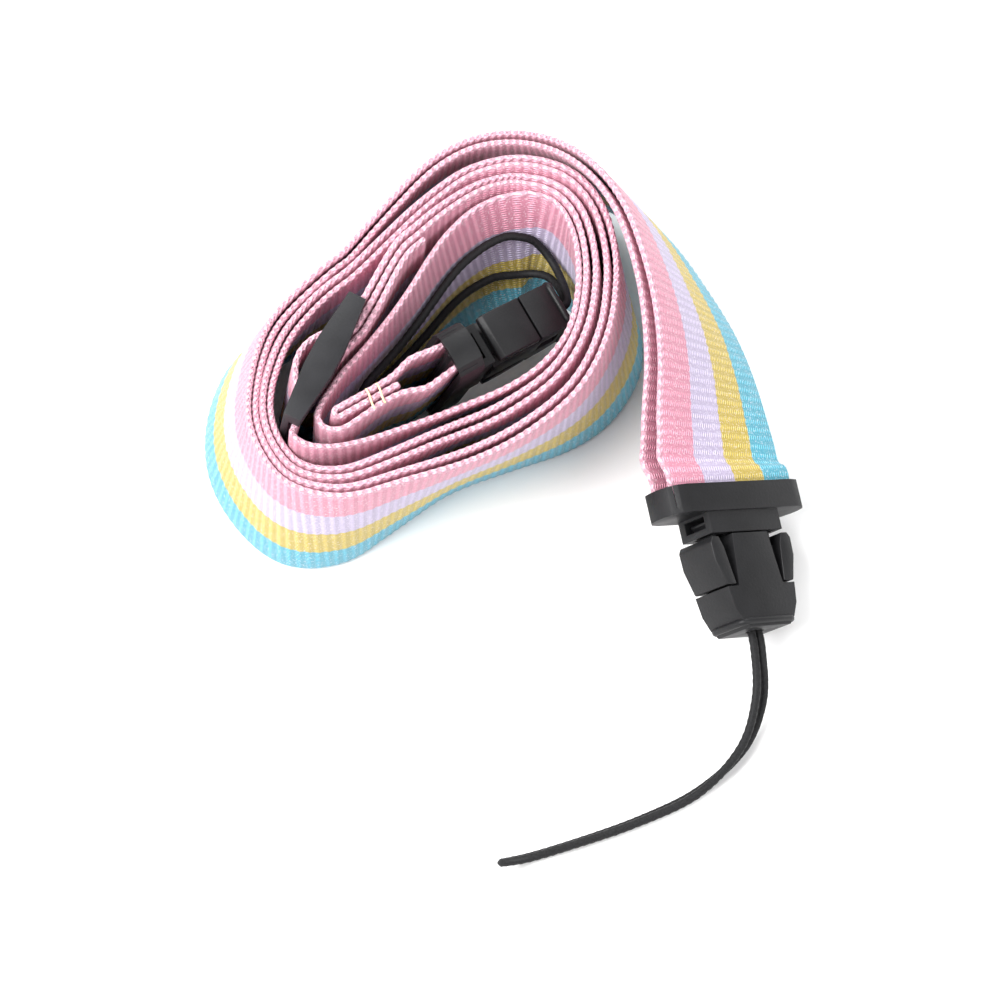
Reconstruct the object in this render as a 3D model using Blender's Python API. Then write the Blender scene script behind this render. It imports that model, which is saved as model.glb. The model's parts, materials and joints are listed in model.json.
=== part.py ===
"""Luggage strap: striped webbing wound into a standing coil, a buckle with a cord loop on each end, and a
three-bar slider that sets its length.

Metres, +Z up. The strap stands on its lower selvedge, with its free end and that end's buckle towards -Y.
The origin is under the middle of everything but the two cords, at the height the strap stands on.
"""

import math

import bmesh
import bpy
import numpy as np
from mathutils import Matrix, Vector

MM = 0.001

# Webbing, in millimetres like every size below
WEB_WIDTH = 25.0
WEB_THICK = 0.95
SEWN_PITCH = 1.25  # middle to middle of layers sewn on each other
CLEARANCE = 0.3  # between any two pieces

# Buckle: x runs across it, y from the strap to the cord, z through its thickness
COLLAR_WALL = 1.0
COLLAR_DEPTH = 4.2
COLLAR_THICK = 8.0
COLLAR_FLOOR = 1.0
COLLAR_CORNER = 3.2
SLEEVE_PLAY = 0.4  # webbing edge to collar wall
BAR = 2.0
BAR_AT = 0.8
HEAD_WIDTH = 14.4
HEAD_THICK = 6.6
HEAD_DEPTH = 3.2
HEAD_WALL = 1.0
SOCKET_DEPTH = 2.8
SOCKET_THICK = 4.2
TONGUE_WIDTH = 8.6
TONGUE_TIP = 6.6
PLUG_LENGTH = 14.2
PLUG_THICK = 7.2
PLUG_ROOT_WIDTH = 13.8
PLUG_END_WIDTH = 10.6
ARM_REACH = 7.6  # from the plug's shoulder to the hinge of its arms
ARM_GAP = 0.75
ARM_BEAM = 0.8
HOOK = 0.6
PAD_REACH = 2.4  # how far the finger pad stands out from the latch beam

# Cord loop and its knot
CORD = 1.2
CORD_SPACING = CORD + CLEARANCE
CORD_EXIT = 1.6  # how far it runs straight on from the plug
KNOT = (3.8, 2.6, 3.6)
KNOT_INSET = 3.9  # middle of the knot from the end of the plug

# Slider: x runs along the strap, y through its thickness, z across the strap
SLIDER_LENGTH = 21.6
SLIDER_THICK = 4.4
SLIDER_END_THICK = 2.7
SLIDER_RAIL = 2.6
SLIDER_BAR = 2.6
SLIDER_BAR_THICK = 1.4
SLIDER_END_BAR = 2.2
SLIDER_END_BAR_THICK = 1.0

# Where things stand. A strand on edge is given by its upper selvedge: x, y, how far it leans to its left
# as it runs, and how far its lower selvedge is lifted.
SLIDER_AT = (-27.5, 10.1, 15.9)
SLIDER_HEADING = math.radians(65.0)
SLIDER_RISE = 0.0
SLIDER_LEAN = math.radians(-9.0)
BUCKLE_A_AT = (32.8, -3.6, 12.2)
BUCKLE_A_TURN = math.radians(-77.5)
BUCKLE_A_DIP = math.radians(12.5)
BUCKLE_A_ROLL = math.radians(37.0)
BUCKLE_B_AT = (-9.9, 13.1, 15.8)
BUCKLE_B_TURN = math.radians(32.5)
BUCKLE_B_DIP = math.radians(3.0)
BUCKLE_B_ROLL = math.radians(74.0)

# The middle line between the two strands of the doubled strap on its second turn, clockwise from the
# slider: x, y, lean outwards, the step in to the turn before, and the gap between the strands.
TURN = (
    (-21.9, 26.0, -3.5, 2.80, 1.35),
    (-18.1, 30.2, -1.5, 2.80, 1.35),
    (-11.2, 37.9, 2.5, 2.80, 1.35),
    (-4.5, 43.5, 5.5, 2.90, 1.35),
    (3.0, 45.4, 6.0, 2.90, 1.40),
    (9.9, 43.3, 3.5, 2.90, 1.40),
    (14.3, 37.7, -0.5, 2.95, 1.40),
    (16.3, 29.7, -3.5, 3.05, 1.45),
    (16.3, 23.0, -4.5, 3.05, 1.45),
    (14.6, 14.7, -2.0, 3.20, 1.45),
    (10.8, 7.0, 2.4, 3.60, 1.50),
    (3.6, 0.7, 5.8, 4.20, 1.60),
    (-5.5, -4.0, 6.6, 4.60, 1.60),
    (-14.5, -7.3, 3.8, 3.50, 1.50),
    (-23.1, -9.6, 0.5, 2.90, 1.40),
    (-30.6, -7.3, -3.0, 2.40, 1.25),
    (-35.0, -0.8, -5.5, 2.20, 1.15),
    (-36.0, 7.1, -8.0, 2.20, 1.15),
    (-33.8, 16.9, -8.5, 2.70, 1.25),
    (-27.4, 24.9, -6.5, 2.80, 1.35),
)
COIL_EYE = (-8.0, 18.0)
TURN_RELAX = 1.0  # each turn leans in this much more than the one inside it
SLIDER_LIFT = (2.6, 1.3, 0.3)  # of the coil's first stations, where it comes down from the slider
# The doubled end from above the slider, over the coil and down to its buckle: x, y, lean, lift, and the
# gap between its two strands.
TAIL = (
    (-23.2, 28.9, -8.0, 0.0, 1.35),
    (-16.9, 36.7, -7.0, 0.0, 1.35),
    (-10.0, 44.4, -5.5, 0.0, 1.35),
    (-4.3, 47.9, -4.5, 0.0, 1.35),
    (1.0, 48.9, -4.5, 0.2, 1.45),
    (6.2, 48.1, -5.5, 0.8, 1.50),
    (11.0, 45.3, -7.0, 2.0, 1.50),
    (14.9, 40.8, -8.5, 3.6, 1.50),
    (18.0, 34.7, -10.0, 5.2, 1.50),
    (20.2, 27.0, -12.0, 6.4, 1.70),
    (21.5, 19.7, -14.0, 6.8, 2.10),
    (22.1, 12.4, -15.8, 6.4, 2.50),
    (21.9, 6.2, -17.4, 5.6, 3.00),
    (21.8, 0.4, -18.8, 4.8, 3.60),
)
# The single strand from beside the sewn stack, up inside the slider and once around: x, y, lean, lift.
INNER = (
    (-23.0, -1.2, 1.8, 3.4),
    (-24.7, -1.3, 1.2, 3.6),
    (-25.9, -0.5, -0.2, 3.7),
    (-26.4, 0.9, -1.4, 3.7),
    (-25.9, 2.7, -2.2, 3.5),
    (-24.7, 5.0, -2.7, 3.1),
    (-22.7, 8.6, -2.8, 2.4),
    (-20.5, 11.7, -2.2, 1.6),
    (-16.3, 18.0, -0.4, 0.6),
    (-13.0, 23.7, 1.6, 0.1),
    (-10.6, 28.3, 3.0, 0.0),
    (-8.0, 32.5, 4.5, 0.0),
    (-4.0, 37.0, 6.5, 0.0),
    (0.0, 39.4, 8.0, 0.0),
    (3.6, 40.1, 8.0, 0.0),
    (6.9, 39.2, 6.0, 0.0),
    (9.1, 37.0, 3.5, 0.0),
    (10.7, 33.4, 0.8, 0.0),
    (11.5, 29.2, -1.5, 0.0),
    (11.5, 23.0, -2.6, 0.0),
    (10.0, 16.3, 0.0, 0.0),
    (6.4, 11.2, 4.2, 0.0),
    (1.6, 7.8, 7.8, 0.0),
    (-5.6, 4.4, 8.4, 0.1),
    (-13.1, 0.9, 6.4, 0.5),
    (-20.3, -2.3, 3.0, 1.4),
    (-24.8, -3.4, 0.4, 2.0),
    (-28.0, -3.1, -1.4, 2.4),
    (-29.9, -1.8, -2.6, 2.8),
)
# The sewn stack behind buckle b, in the buckle's own y and z: the cut end lies between the two layers.
STACK_CUT = -8.5
STACK_END = -18.8
TUCK_FROM = -6.0
STACK_TUCK = 3.6  # how far the fold's lower selvedge is pulled to the near side
# Strands through the slider, in the slider's own x and y.
THROUGH = (
    (-9.8, -0.6),
    (-7.9, -0.3),
    (-5.2, 1.6),
    (-2.8, 3.1),
    (-0.8, 3.7),
    (0.8, 3.7),
    (2.8, 3.1),
    (5.2, 1.5),
    (7.9, -0.5),
    (9.8, -0.6),
    (12.0, -0.7),
)
RETURN = ((12.0, -1.95), (9.8, -1.85), (7.5, -1.7), (4.8, -0.6), (2.3, 1.0), (1.0, 1.45), (-0.8, 1.475))
SEWN_END = ((-0.8, -1.475), (1.2, -1.55), (4.8, -2.2), (7.6, -2.95), (9.8, -3.1), (12.0, -3.2))
SEWN_STATIONS = 2  # how many stations of the coil the sewn end runs beside

# Cord loops: out along one strand from the plug, round the far bend and back along the other.
LOOP_A = (
    (37.5, -28.6, 6.4),
    (37.6, -33.0, 4.7),
    (35.6, -40.4, 3.4),
    (29.2, -47.9, 3.3),
    (20.4, -52.6, 3.7),
    (8.7, -57.0, 4.4),
    (3.6, -58.7, 4.9),
    (0.2, -58.6, 2.9),
    (3.4, -57.2, 0.75),
    (8.7, -55.6, 0.75),
    (20.4, -51.3, 0.75),
    (29.2, -46.7, 0.75),
    (36.3, -39.7, 1.0),
    (38.8, -33.0, 2.7),
    (38.7, -28.6, 5.2),
)
LOOP_B = (
    (8.4, 32.7, 13.4),
    (6.4, 35.2, 14.6),
    (5.0, 36.0, 15.8),
    (3.5, 36.1, 16.6),
    (1.3, 36.0, 17.2),
    (-1.9, 34.4, 17.4),
    (-5.8, 30.8, 17.6),
    (-8.5, 27.1, 17.6),
    (-11.3, 22.7, 17.4),
    (-15.1, 17.2, 17.2),
    (-19.8, 11.2, 17.0),
    (-21.0, 9.8, 14.8),
    (-20.1, 11.4, 12.6),
    (-15.0, 17.2, 12.0),
    (-10.8, 22.5, 11.6),
    (-7.8, 26.7, 11.2),
    (-4.7, 30.0, 10.8),
    (-0.6, 32.7, 10.2),
    (1.6, 33.2, 9.8),
    (3.6, 33.5, 9.6),
    (5.4, 33.4, 9.9),
    (7.1, 32.6, 10.6),
    (8.4, 31.0, 11.4),
)

BLACK = (0.014, 0.014, 0.016)
CORD_BLACK = (0.012, 0.012, 0.013)
PINK = (0.88, 0.36, 0.50)

COIL_STEP = 4.0
CURVE_STEP = 3.0
CORD_STEP = 3.3


# Frames: each gives world millimetres from the piece's own

def buckle_frame(at, turn, dip, roll):
    heading = Vector((math.cos(turn) * math.cos(dip), math.sin(turn) * math.cos(dip), -math.sin(dip)))
    right = Vector((math.sin(turn), -math.cos(turn), 0))
    across = right * math.cos(roll) + right.cross(heading) * math.sin(roll)
    axes = Matrix((across, heading, across.cross(heading))).transposed()
    return Matrix.Translation(at) @ axes.to_4x4()


def slider_frame():
    heading = Vector((math.cos(SLIDER_HEADING), math.sin(SLIDER_HEADING), math.tan(SLIDER_RISE)))
    heading.normalize()
    left = Vector((-math.sin(SLIDER_HEADING), math.cos(SLIDER_HEADING), 0))
    across = heading.cross(left) * math.cos(SLIDER_LEAN) + left * math.sin(SLIDER_LEAN)
    axes = Matrix((heading, across.cross(heading), across)).transposed()
    return Matrix.Translation(SLIDER_AT) @ axes.to_4x4()


FRAME_A = buckle_frame(BUCKLE_A_AT, BUCKLE_A_TURN, BUCKLE_A_DIP, BUCKLE_A_ROLL)
FRAME_B = buckle_frame(BUCKLE_B_AT, BUCKLE_B_TURN, BUCKLE_B_DIP, BUCKLE_B_ROLL)
FRAME_SLIDER = slider_frame()


# Curves

def smooth(points, longest):
    """Points no further apart than longest on a centripetal Catmull-Rom curve through the given ones."""
    given = np.asarray(points, float)
    given = np.vstack((2 * given[0] - given[1], given, 2 * given[-1] - given[-2]))
    found = []
    for a, b, c, d in zip(given, given[1:], given[2:], given[3:]):
        spans = [math.sqrt(np.linalg.norm(v)) for v in (b - a, c - b, d - c)]
        t = np.concatenate(([0.0], np.cumsum(spans)))
        count = max(1, math.ceil(np.linalg.norm(c[:3] - b[:3]) / longest))
        for s in np.linspace(t[1], t[2], count, endpoint=False):
            ab = (a * (t[1] - s) + b * s) / t[1]
            bc = (b * (t[2] - s) + c * (s - t[1])) / (t[2] - t[1])
            cd = (c * (t[3] - s) + d * (s - t[2])) / (t[3] - t[2])
            abc = (ab * (t[2] - s) + bc * s) / t[2]
            bcd = (bc * (t[3] - s) + cd * (s - t[1])) / (t[3] - t[1])
            found.append((abc * (t[2] - s) + bcd * (s - t[1])) / (t[2] - t[1]))
    return np.array(found + [given[-2]])


def directions(points):
    """The direction of travel at each point."""
    ahead = np.diff(points, axis=0)
    ahead /= np.linalg.norm(ahead, axis=1)[:, None]
    along = np.vstack((ahead[:1], ahead[:-1] + ahead[1:], ahead[-1:]))
    return along / np.linalg.norm(along, axis=1)[:, None]


def leftwards(points):
    """The level direction to the left of travel at each point."""
    along = directions(np.asarray(points, float)[:, :2])
    return np.column_stack((-along[:, 1], along[:, 0], np.zeros(len(along))))


def arc(centre, radius, start, end, count):
    """Points on a flat arc; the angles are in degrees."""
    angles = np.radians(np.linspace(start, end, count))
    return [(centre[0] + radius * math.cos(a), centre[1] + radius * math.sin(a)) for a in angles]


# The webbing's route. A station is its upper and lower selvedge as one row of six numbers.

def standing(rows, square=False):
    """Stations of a strand on edge, from rows of x, y, lean, lift. A square one tips back where it climbs."""
    rows = np.asarray(rows, float)
    left, lean, lift = leftwards(rows), rows[:, 2:3], rows[:, 3:4]
    upper = np.column_stack((rows[:, :2], lift + np.sqrt(WEB_WIDTH**2 - lean**2)))
    lower = np.column_stack((rows[:, :2], lift)) - left * lean
    if square:
        middle, along = (upper + lower) / 2, directions((upper + lower) / 2)
        across = upper - lower
        across -= along * np.sum(across * along, axis=1)[:, None]
        across *= WEB_WIDTH / 2 / np.linalg.norm(across, axis=1)[:, None]
        upper, lower = middle + across, middle - across
    return np.hstack((upper, lower))


def shifted(stations, distance):
    """The stations moved off the face that is on the left as the strand runs."""
    normal = ribbon(stations)[2]
    return stations + np.hstack((normal, normal)) * np.reshape(distance, (-1, 1))


def in_buckle(frame, rows, tuck=0.0):
    """Stations from the buckle's y and z, with the upper selvedge at +x."""
    half = WEB_WIDTH / 2
    found = []
    for y, z in rows:
        pull = tuck * max(0.0, (y - TUCK_FROM) / (STACK_END - TUCK_FROM))
        found.append((*(frame @ Vector((half, y, z))), *(frame @ Vector((-half, y, z - pull)))))
    return np.array(found)


def in_slider(rows):
    half = WEB_WIDTH / 2
    return np.array(
        [(*(FRAME_SLIDER @ Vector((x, y, half))), *(FRAME_SLIDER @ Vector((x, y, -half)))) for x, y in rows]
    )


BAR_TURN = BAR / 2 + CLEARANCE + WEB_THICK / 2  # middle of the strap from the middle of the bar
SLIDER_BAR_TURN = SLIDER_BAR_THICK / 2 + CLEARANCE + WEB_THICK / 2


def coil_rows():
    """The doubled strap's middle line: x, y, lean, lift, gap."""
    ring = np.array(TURN)
    outwards = leftwards(np.vstack((ring[-1:], ring, ring[:1])))[1:-1, :2]
    inner_turn = [
        (*(row[:2] - row[3] * normal), row[2] + TURN_RELAX, 0.0, row[4]) for row, normal in zip(ring, outwards)
    ]
    outer_turn = [(row[0], row[1], row[2], 0.0, row[4]) for row in ring]
    rows = np.array(inner_turn[1:] + outer_turn + list(TAIL))
    rows[: len(SLIDER_LIFT), 3] = SLIDER_LIFT
    return rows


def strap_route():
    near = SEWN_PITCH
    stack_b = (
        [(STACK_CUT, 0.0), (-12.0, 0.0), (STACK_END + 1.0, 0.0)]
        + arc((STACK_END + 0.4, near / 2), near / 2, 250, 110, 4)
        + [(STACK_END + 1.0, near), (-12.0, near), (-8.5, near + 0.2), (-5.0, near + 1.1), (-2.0, BAR_TURN + 0.3)]
        + arc((BAR_AT, 0.0), BAR_TURN, 90, -90, 7)
        + [(-2.0, -BAR_TURN - 0.4), (-5.0, -near - 1.2), (-8.5, -near - 0.2), (-12.0, -near), (-15.2, -near - 0.3)]
    )
    coil = smooth(coil_rows(), COIL_STEP)
    middle = standing(coil[:, :4], square=True)
    half_gap = coil[:, 4] / 2
    bar_a = [(-2.2, BAR_TURN)] + arc((BAR_AT, 0.0), BAR_TURN, 90, -90, 7) + [(-2.2, -BAR_TURN)]
    loop = arc((-0.8, 0.0), SLIDER_BAR_TURN, 120, 240, 4)
    sewn = shifted(middle[:SEWN_STATIONS], -half_gap[:SEWN_STATIONS] - SEWN_PITCH)
    return np.vstack((
        in_buckle(FRAME_B, stack_b, STACK_TUCK),
        standing(INNER),
        in_slider(THROUGH),
        shifted(middle, half_gap),
        in_buckle(FRAME_A, bar_a),
        shifted(middle, -half_gap)[::-1],
        in_slider(list(RETURN) + loop + list(SEWN_END)),
        sewn,
    ))


def ribbon(stations):
    """Middle, width direction and face direction at each station."""
    middle = (stations[:, :3] + stations[:, 3:]) / 2
    across = stations[:, :3] - stations[:, 3:]
    across /= np.linalg.norm(across, axis=1)[:, None]
    face = np.cross(across, directions(middle))
    return middle, across, face / np.linalg.norm(face, axis=1)[:, None]


# Building objects

def material(name, colour, roughness):
    made = bpy.data.materials.new(name)
    made.use_nodes = True
    shader = made.node_tree.nodes["Principled BSDF"]
    shader.inputs["Base Color"].default_value = (*colour, 1.0)
    shader.inputs["Roughness"].default_value = roughness
    shader.inputs["Metallic"].default_value = 0.0
    made.diffuse_color = (*colour, 1.0)
    return made


def add(name, data, frame, origin=(0, 0, 0)):
    """An object standing in a frame, with its own origin at a point of that frame."""
    obj = bpy.data.objects.new(name, data)
    bpy.context.scene.collection.objects.link(obj)
    place = frame @ Matrix.Translation(origin)
    place.translation *= MM
    obj.matrix_world = place
    return obj


def mesh_of(name, shape, origin=(0, 0, 0)):
    bmesh.ops.translate(shape, vec=-Vector(origin), verts=shape.verts)
    bmesh.ops.scale(shape, vec=(MM, MM, MM), verts=shape.verts)
    bmesh.ops.recalc_face_normals(shape, faces=shape.faces)
    mesh = bpy.data.meshes.new(name)
    shape.to_mesh(mesh)
    shape.free()
    return mesh


def prism(outline, axis, low, high):
    """An outline in the plane across an axis, extruded along it. The outline's pairs keep x, y, z order."""
    shape = bmesh.new()
    def corner(pair, level):
        point = list(pair)
        point.insert("xyz".index(axis), level)
        return shape.verts.new(point)
    rings = [[corner(pair, level) for pair in outline] for level in (low, high)]
    for ring in rings:
        shape.faces.new(ring)
    for i in range(len(outline)):
        j = (i + 1) % len(outline)
        shape.faces.new((rings[0][i], rings[0][j], rings[1][j], rings[1][i]))
    return shape


def block(low, high):
    outline = ((low[0], low[1]), (high[0], low[1]), (high[0], high[1]), (low[0], high[1]))
    return prism(outline, "z", low[2], high[2])


def rounded(width, height, radius, steps=4):
    """A rectangle about the origin with round corners."""
    points = []
    for quarter, (sx, sy) in enumerate(((1, 1), (-1, 1), (-1, -1), (1, -1))):
        centre = (sx * (width / 2 - radius), sy * (height / 2 - radius))
        points += arc(centre, radius, 90 * quarter, 90 * quarter + 90, steps)
    return points


def mirrored(outline):
    """A half outline on +x, closed by its mirror image."""
    return list(outline) + [(-x, y) for x, y in reversed(outline)]


def change(obj, name, shape, operation):
    """A Boolean with a hidden helper that stands where the object does."""
    helper = bpy.data.objects.new(name, mesh_of(name, shape, obj["origin"]))
    bpy.context.scene.collection.objects.link(helper)
    helper.matrix_world = obj.matrix_world
    helper.hide_render = True
    helper.display_type = "WIRE"
    modifier = obj.modifiers.new(name, "BOOLEAN")
    modifier.operation = operation
    modifier.solver = "EXACT"
    modifier.object = helper


def solid(name, shape, frame, look, origin=(0, 0, 0)):
    obj = add(name, mesh_of(name, shape, origin), frame, origin)
    obj["origin"] = origin
    obj.data.materials.append(look)
    return obj


# Webbing

def make_webbing(look):
    shape = bmesh.new()
    rings = []
    eye = Vector((*COIL_EYE, WEB_WIDTH / 2))
    for centre, width, thick in zip(*ribbon(smooth(strap_route(), CURVE_STEP))):
        half = thick * WEB_THICK / 2
        levels = [centre + width * WEB_WIDTH / 2 * share for share in (1, 0, -1)]
        corners = [level + half for level in levels] + [level - half for level in reversed(levels)]
        rings.append([shape.verts.new(corner) for corner in corners])
    shape.faces.new(rings[0])
    shape.faces.new(rings[-1])
    for one, two in zip(rings, rings[1:]):
        for i in range(len(one)):
            j = (i + 1) % len(one)
            falling = (one[i].co + two[j].co) / 2 - eye
            rising = (one[j].co + two[i].co) / 2 - eye
            split = (one[i], two[j]) if falling.length > rising.length else (one[j], two[i])
            for corner in {one[i], one[j], two[i], two[j]} - set(split):
                shape.faces.new((*split, corner))
    return solid("webbing", shape, Matrix(), look)


# Slider

def make_slider(look):
    half, thick, end = SLIDER_LENGTH / 2, SLIDER_THICK / 2, SLIDER_END_THICK / 2
    width = WEB_WIDTH + 2 * CLEARANCE + 2 * SLIDER_RAIL
    outline = ((half, end), (half * 0.22, thick), (-half * 0.22, thick), (-half, end))
    outline += tuple((-x, -y) for x, y in outline)
    slider = solid("slider", prism(outline, "z", -width / 2, width / 2), FRAME_SLIDER, look)
    inside = WEB_WIDTH / 2 + CLEARANCE
    window = half - SLIDER_END_BAR
    change(slider, "slider_window", block((-window, -thick - 1, -inside), (window, thick + 1, inside)), "DIFFERENCE")
    for side in (-1, 1):
        ends = sorted((side * (window - 1), side * (half + 1)))
        recess = block((ends[0], -thick - 1, -inside), (ends[1], end - SLIDER_END_BAR_THICK, inside))
        change(slider, f"slider_recess_{side}", recess, "DIFFERENCE")
    bar = prism(rounded(SLIDER_BAR, SLIDER_BAR_THICK, SLIDER_BAR_THICK * 0.45), "z", -inside - 1, inside + 1)
    change(slider, "slider_bar", bar, "UNION")
    return slider


# Buckle

COLLAR_WIDTH = WEB_WIDTH + 2 * (SLEEVE_PLAY + COLLAR_WALL)
HEAD_AT = COLLAR_DEPTH - CLEARANCE  # sunk into the collar, to be one piece with it
HEAD_END = COLLAR_DEPTH + HEAD_DEPTH
PLUG_AT = HEAD_END + CLEARANCE
PLUG_END = PLUG_AT + PLUG_LENGTH
TONGUE_AT = HEAD_END - SOCKET_DEPTH + CLEARANCE
HINGE = (5.6, PLUG_AT + ARM_REACH)
KNOT_AT = PLUG_END - KNOT_INSET
CORD_FROM = KNOT_AT + KNOT[1] / 2 + CLEARANCE


def make_strap_end(side, frame, look):
    width, thick = COLLAR_WIDTH, COLLAR_THICK
    collar = prism(rounded(width, thick, COLLAR_CORNER), "y", 0, COLLAR_DEPTH)
    piece = solid(f"strap_end_{side}", collar, frame, look)
    inside = (width / 2 - COLLAR_WALL, thick / 2 - COLLAR_WALL)
    pocket = block((-inside[0], -1, -inside[1]), (inside[0], COLLAR_DEPTH - COLLAR_FLOOR, inside[1]))
    change(piece, f"strap_end_{side}_pocket", pocket, "DIFFERENCE")
    bar = prism(arc((BAR_AT, 0), BAR / 2, 0, 315, 8), "x", -inside[0] - 0.5, inside[0] + 0.5)
    change(piece, f"strap_end_{side}_bar", bar, "UNION")
    half, thick = HEAD_WIDTH / 2, HEAD_THICK / 2
    head = block((-half, HEAD_AT, -thick), (half, HEAD_END, thick))
    change(piece, f"strap_end_{side}_head", head, "UNION")
    half, thick, deep = half - HEAD_WALL, SOCKET_THICK / 2, HEAD_END - SOCKET_DEPTH
    change(piece, f"strap_end_{side}_socket", block((-half, deep, -thick), (half, HEAD_END + 1, thick)), "DIFFERENCE")
    catch = block((-HEAD_WIDTH, deep, -thick), (HEAD_WIDTH, deep + HOOK + 1.2, thick))
    change(piece, f"strap_end_{side}_catch", catch, "DIFFERENCE")
    return piece


def make_plug(side, frame, look):
    root, end = PLUG_ROOT_WIDTH / 2, PLUG_END_WIDTH / 2
    neck, tip, slot = TONGUE_WIDTH / 2, TONGUE_TIP / 2, HINGE[1] + CLEARANCE
    plan = mirrored((
        (end - 1.2, PLUG_END),
        (end, PLUG_END - 1.2),
        (root - 0.5, slot + 3.0),
        (root, slot),
        (neck + 0.2, slot),
        (neck, slot - 1.5),
        (tip + 0.3, PLUG_AT),
    ))
    piece = solid(f"plug_{side}", prism(plan, "z", -PLUG_THICK / 2, PLUG_THICK / 2), frame, look)
    thick = SOCKET_THICK / 2 - CLEARANCE
    tongue = prism(mirrored(((tip, PLUG_AT + 1.0), (tip, TONGUE_AT + 0.6), (tip - 0.6, TONGUE_AT))), "z", -thick, thick)
    change(piece, f"plug_{side}_tongue", tongue, "UNION")
    room = [size / 2 + CLEARANCE for size in KNOT]
    back = PLUG_THICK / 2 + 1
    pocket = block((-room[0], KNOT_AT - room[1], -back), (room[0], KNOT_AT + room[1], KNOT[2] / 2 + CLEARANCE))
    change(piece, f"plug_{side}_knot_pocket", pocket, "DIFFERENCE")
    broad, tall = CORD_SPACING / 2 + CORD / 2 + CLEARANCE, CORD / 2 + CLEARANCE
    hole = prism(rounded(2 * broad, 2 * tall, tall * 0.9, 3), "y", KNOT_AT, PLUG_END + 1)
    change(piece, f"plug_{side}_cord_hole", hole, "DIFFERENCE")
    return piece


def make_arm(side, hand, frame, look):
    """One latch arm: a beam with a hook in the socket, and a finger pad outside it."""
    sign = 1 if hand == "left" else -1
    tip, inner = TONGUE_AT + CLEARANCE, TONGUE_WIDTH / 2 + ARM_GAP
    outer, pad, root = inner + ARM_BEAM, PLUG_AT + CLEARANCE, HINGE[1]
    reach = outer + PAD_REACH
    plan = (
        (inner, tip),
        (outer + HOOK, tip),
        (outer + HOOK, tip + 0.4),
        (outer, tip + 0.9),
        (outer, pad + 1.6),
        (outer + 0.6, pad),
        (reach - 0.5, pad),
        (reach, pad + 0.8),
        (reach - 0.1, pad + 3.5),
        (PLUG_ROOT_WIDTH / 2, root),
        (inner - 0.1, root),
    )
    thick = SOCKET_THICK / 2 - CLEARANCE
    origin = (sign * HINGE[0], HINGE[1], 0)
    name = f"arm_{hand}_{side}"
    beam = prism([(sign * x, y) for x, y in plan[:5] + plan[9:]], "z", -thick, thick)
    piece = solid(name, beam, frame, look, origin)
    grip = prism([(sign * x, y) for x, y in plan[4:]], "z", -PLUG_THICK / 2, PLUG_THICK / 2)
    change(piece, f"{name}_pad", grip, "UNION")
    return piece


def make_knot(side, frame, look):
    shape = bmesh.new()
    bmesh.ops.create_uvsphere(shape, u_segments=12, v_segments=8, radius=0.5)
    bmesh.ops.scale(shape, vec=KNOT, verts=shape.verts)
    bmesh.ops.translate(shape, vec=(0, KNOT_AT, 0), verts=shape.verts)
    return solid(f"cord_knot_{side}", shape, frame, look)


# Cord loops

def cord_points(frame, loop):
    """The cord's middle line from its knot in the plug, around the loop and back to the knot."""
    side = CORD_SPACING / 2
    ends = (CORD_FROM, PLUG_END, PLUG_END + CORD_EXIT)
    out, back = [[tuple(frame @ Vector((x, y, 0))) for y in ends] for x in (side, -side)]
    return smooth(out + list(loop) + back[::-1], CORD_STEP)


def make_cord(side, frame, loop, look):
    name = f"cord_{side}"
    points = cord_points(frame, loop)
    curve = bpy.data.curves.new(name, "CURVE")
    curve.dimensions = "3D"
    curve.bevel_depth = CORD / 2 * MM
    curve.bevel_resolution = 2
    curve.use_fill_caps = True
    spline = curve.splines.new("POLY")
    spline.points.add(len(points) - 1)
    for point, place in zip(spline.points, points):
        point.co = (*(place * MM), 1.0)
    curve.materials.append(look)
    return add(name, curve, Matrix())


def settle(cords):
    """Moves everything so that the origin is under the middle of all but the cords."""
    bpy.context.view_layer.update()
    graph = bpy.context.evaluated_depsgraph_get()
    corners = []
    for obj in bpy.data.objects:
        if not obj.hide_render and obj.name not in cords:
            mesh = obj.evaluated_get(graph).to_mesh()
            corners += [obj.matrix_world @ vertex.co for vertex in mesh.vertices]
    corners = np.array(corners)
    low, high = corners.min(axis=0), corners.max(axis=0)
    shift = Vector((-(low[0] + high[0]) / 2, -(low[1] + high[1]) / 2, -low[2]))
    for obj in bpy.data.objects:
        obj.location += shift


def main():
    for obj in list(bpy.data.objects):
        bpy.data.objects.remove(obj)
    web = material("webbing", PINK, 0.8)
    plastic = material("black_plastic", BLACK, 0.5)
    braid = material("cord", CORD_BLACK, 0.7)
    make_webbing(web)
    make_slider(plastic)
    for side, frame, loop in (("a", FRAME_A, LOOP_A), ("b", FRAME_B, LOOP_B)):
        make_strap_end(side, frame, plastic)
        make_plug(side, frame, plastic)
        make_arm(side, "left", frame, plastic)
        make_arm(side, "right", frame, plastic)
        make_knot(side, frame, braid)
        make_cord(side, frame, loop, braid)
    settle({f"{name}_{side}" for name in ("cord", "cord_knot") for side in "ab"})


main()
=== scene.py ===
"""The looks of a luggage strap: ribbed striped webbing in a standing coil, grained black buckles and slider,
and a braided cord loop on each buckle. Sizes are in millimetres until a mesh is made."""

import json
import math

import bmesh
import bpy
import numpy as np
from mathutils import Matrix, Vector

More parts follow.
